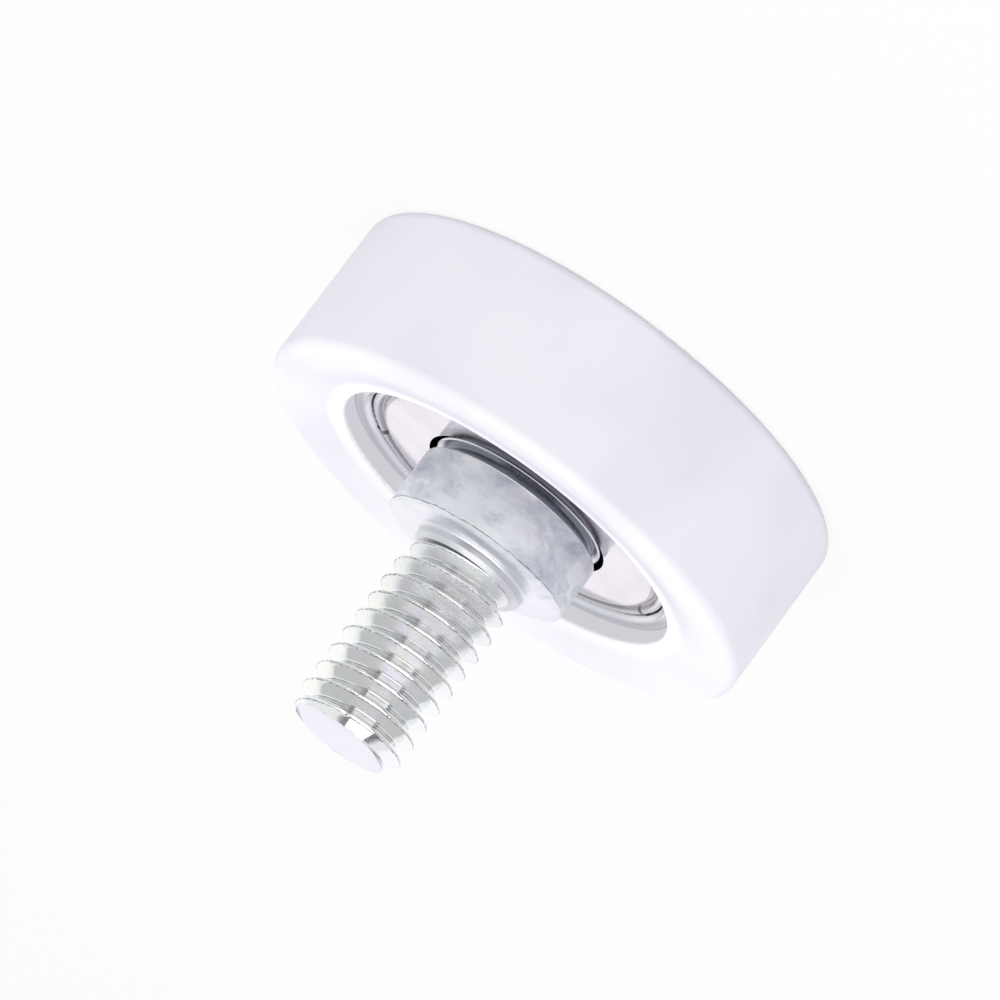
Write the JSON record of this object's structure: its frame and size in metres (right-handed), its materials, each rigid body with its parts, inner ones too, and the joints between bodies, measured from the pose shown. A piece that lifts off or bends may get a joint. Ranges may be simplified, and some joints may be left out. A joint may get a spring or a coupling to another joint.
{
  "type": "sliding door roller",
  "caption": "Small white plastic wheel moulded over a shielded ball bearing, riveted to a collared stud with a threaded end.",
  "frame": {"origin": "centre of the wheel's back face, on the bearing axis", "axes": "+Z along the bearing and stud axis, from the wheel's back face towards the screw end"},
  "size_m": [0.0254, 0.0254, 0.0203],
  "materials": {
    "tyre": "smooth moulded nylon",
    "ring_steel": "ground bearing steel",
    "shield": "bright pressed steel",
    "cage_steel": "pressed steel",
    "ball_steel": "polished",
    "zinc_plate": "bright zinc plated"
  },
  "bodies": {
    "stud": {"stud": "zinc_plate", "inner_ring": "ring_steel"},
    "wheel": {"tyre": "tyre", "outer_ring": "ring_steel", "shield_front": "shield", "shield_back": "shield"},
    "cage": {"cage_front": "cage_steel", "cage_back": "cage_steel", "cage_rivets": "cage_steel"},
    "ball_1": {"ball_1": "ball_steel"},
    "ball_2": {"ball_2": "ball_steel"},
    "ball_3": {"ball_3": "ball_steel"},
    "ball_4": {"ball_4": "ball_steel"},
    "ball_5": {"ball_5": "ball_steel"},
    "ball_6": {"ball_6": "ball_steel"},
    "ball_7": {"ball_7": "ball_steel"}
  },
  "joints": [
    {"name": "wheel_spin", "type": "hinge", "parent": "stud", "child": "wheel", "pos_m": [0, 0, 0.00375], "axis": [0, 0, 1], "continuous": true},
    {"name": "cage_orbit", "type": "hinge", "parent": "stud", "child": "cage", "pos_m": [0, 0, 0.00375], "axis": [0, 0, 1], "continuous": true},
    {"name": "ball_1_roll", "type": "hinge", "parent": "cage", "child": "ball_1", "pos_m": [0.00625, 0, 0.00375], "axis": [0, 0, 1], "continuous": true},
    {"name": "ball_2_roll", "type": "hinge", "parent": "cage", "child": "ball_2", "pos_m": [0.0039, 0.00489, 0.00375], "axis": [0, 0, 1], "continuous": true},
    {"name": "ball_3_roll", "type": "hinge", "parent": "cage", "child": "ball_3", "pos_m": [-0.00139, 0.00609, 0.00375], "axis": [0, 0, 1], "continuous": true},
    {"name": "ball_4_roll", "type": "hinge", "parent": "cage", "child": "ball_4", "pos_m": [-0.00563, 0.00271, 0.00375], "axis": [0, 0, 1], "continuous": true},
    {"name": "ball_5_roll", "type": "hinge", "parent": "cage", "child": "ball_5", "pos_m": [-0.00563, -0.00271, 0.00375], "axis": [0, 0, 1], "continuous": true},
    {"name": "ball_6_roll", "type": "hinge", "parent": "cage", "child": "ball_6", "pos_m": [-0.00139, -0.00609, 0.00375], "axis": [0, 0, 1], "continuous": true},
    {"name": "ball_7_roll", "type": "hinge", "parent": "cage", "child": "ball_7", "pos_m": [0.0039, -0.00489, 0.00375], "axis": [0, 0, 1], "continuous": true}
  ],
  "couplings": [
    {"joint": "cage_orbit", "follows": "wheel_spin", "ratio": 0.64},
    {"joint": "ball_1_roll", "follows": "wheel_spin", "ratio": 1.6457},
    {"joint": "ball_2_roll", "follows": "wheel_spin", "ratio": 1.6457},
    {"joint": "ball_3_roll", "follows": "wheel_spin", "ratio": 1.6457},
    {"joint": "ball_4_roll", "follows": "wheel_spin", "ratio": 1.6457},
    {"joint": "ball_5_roll", "follows": "wheel_spin", "ratio": 1.6457},
    {"joint": "ball_6_roll", "follows": "wheel_spin", "ratio": 1.6457},
    {"joint": "ball_7_roll", "follows": "wheel_spin", "ratio": 1.6457}
  ]
}
